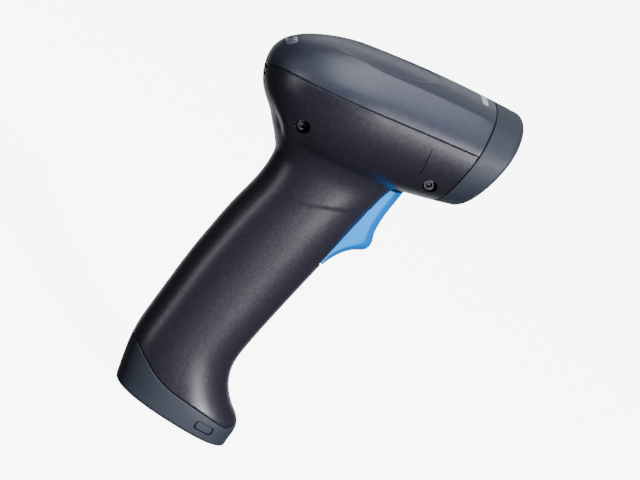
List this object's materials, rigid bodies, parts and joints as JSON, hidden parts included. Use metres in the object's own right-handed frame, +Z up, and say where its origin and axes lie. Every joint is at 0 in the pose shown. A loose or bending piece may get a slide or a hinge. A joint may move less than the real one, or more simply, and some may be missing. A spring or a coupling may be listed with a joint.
{
  "type": "handheld barcode scanner",
  "caption": "Cordless pistol-grip handheld barcode scanner with a slanted scan window, dished top cover, blue trigger and flat-footed grip that stands on its end cap",
  "frame": {"origin": "centre of the flat foot of the grip", "axes": "+X scanning direction, +Y the left side of the person holding it, +Z up, with the foot level; the head is pitched up 10.5 degrees"},
  "size_m": [0.0955, 0.0662, 0.1715],
  "materials": {
    "cover_black": "satin moulded polycarbonate, blue-black",
    "casing_black": "fine-textured moulded plastic, violet-black",
    "bumper_grey": "matt dark blue-grey plastic",
    "trigger_blue": "smooth bright blue moulded plastic",
    "window_clear": "hard-coated clear acrylic",
    "optic_clear": "polished optical plastic",
    "light_pipe_clear": "frosted clear acrylic",
    "gasket_black": "black foam rubber",
    "steel": "zinc-plated steel",
    "socket_steel": "stamped stainless shell",
    "contact_gold": "gold-plated brass",
    "board_green": "green solder mask on glass-epoxy board",
    "chip_black": "moulded epoxy",
    "switch_button": "red moulded plastic",
    "connector_cream": "natural nylon",
    "shield_tin": "tin-plated sheet steel",
    "engine_black": "black glass-filled plastic",
    "aimer_brass": "turned brass barrel",
    "led_white": "white package",
    "flex_amber": "polyimide film",
    "cell_wrap": "shrink sleeve",
    "cradle_black": "moulded plastic"
  },
  "bodies": {
    "scanner": {"upper_housing": "cover_black", "housing_right": "casing_black", "housing_left": "casing_black", "nose_bezel": "bumper_grey", "end_cap": "bumper_grey", "scan_window": "window_clear", "objective_lens": "optic_clear", "aimer_lens": "optic_clear", "illumination_lenses": "optic_clear", "status_light_pipe": "light_pipe_clear", "window_gasket": "gasket_black", "trigger_pivot_pin": "steel", "trigger_return_spring": "steel", "board_screws": "steel", "engine_screws": "steel", "side_screws": "steel", "battery_contact_lower": "steel", "battery_contact_upper": "steel", "charging_socket": "socket_steel", "charge_contacts": "contact_gold", "main_board": "board_green", "sensor_board": "board_green", "illumination_board": "board_green", "trigger_board": "board_green", "handle_board": "board_green", "foot_board": "board_green", "processor": "chip_black", "memory_chip": "chip_black", "trigger_switch": "chip_black", "beeper": "chip_black", "image_sensor": "chip_black", "board_connector": "connector_cream", "radio_module": "shield_tin", "engine_bracket": "shield_tin", "engine_chassis": "engine_black", "lens_barrel": "engine_black", "aimer_module": "aimer_brass", "illumination_leds": "led_white", "status_led": "led_white", "engine_flex_cable": "flex_amber", "battery_cell": "cell_wrap", "battery_cradle": "cradle_black"},
    "trigger": {"trigger": "trigger_blue"},
    "switch_plunger": {"switch_plunger": "switch_button"}
  },
  "joints": [
    {"name": "trigger_pull", "type": "hinge", "parent": "scanner", "child": "trigger", "pos_m": [0.0124, 0, 0.11417], "axis": [0, 1, 0], "range_deg": [0, 6], "stiffness_Nm_per_rad": 0.4, "springref_deg": -6.88, "deforming": ["trigger_return_spring"]},
    {"name": "plunger_press", "type": "slide", "parent": "scanner", "child": "switch_plunger", "axis": [-0.9833, 0, -0.1822], "range_m": [0, 0.0011]}
  ],
  "couplings": [
    {"joint": "plunger_press", "follows": "trigger_pull", "m_per_rad": 0.01}
  ]
}
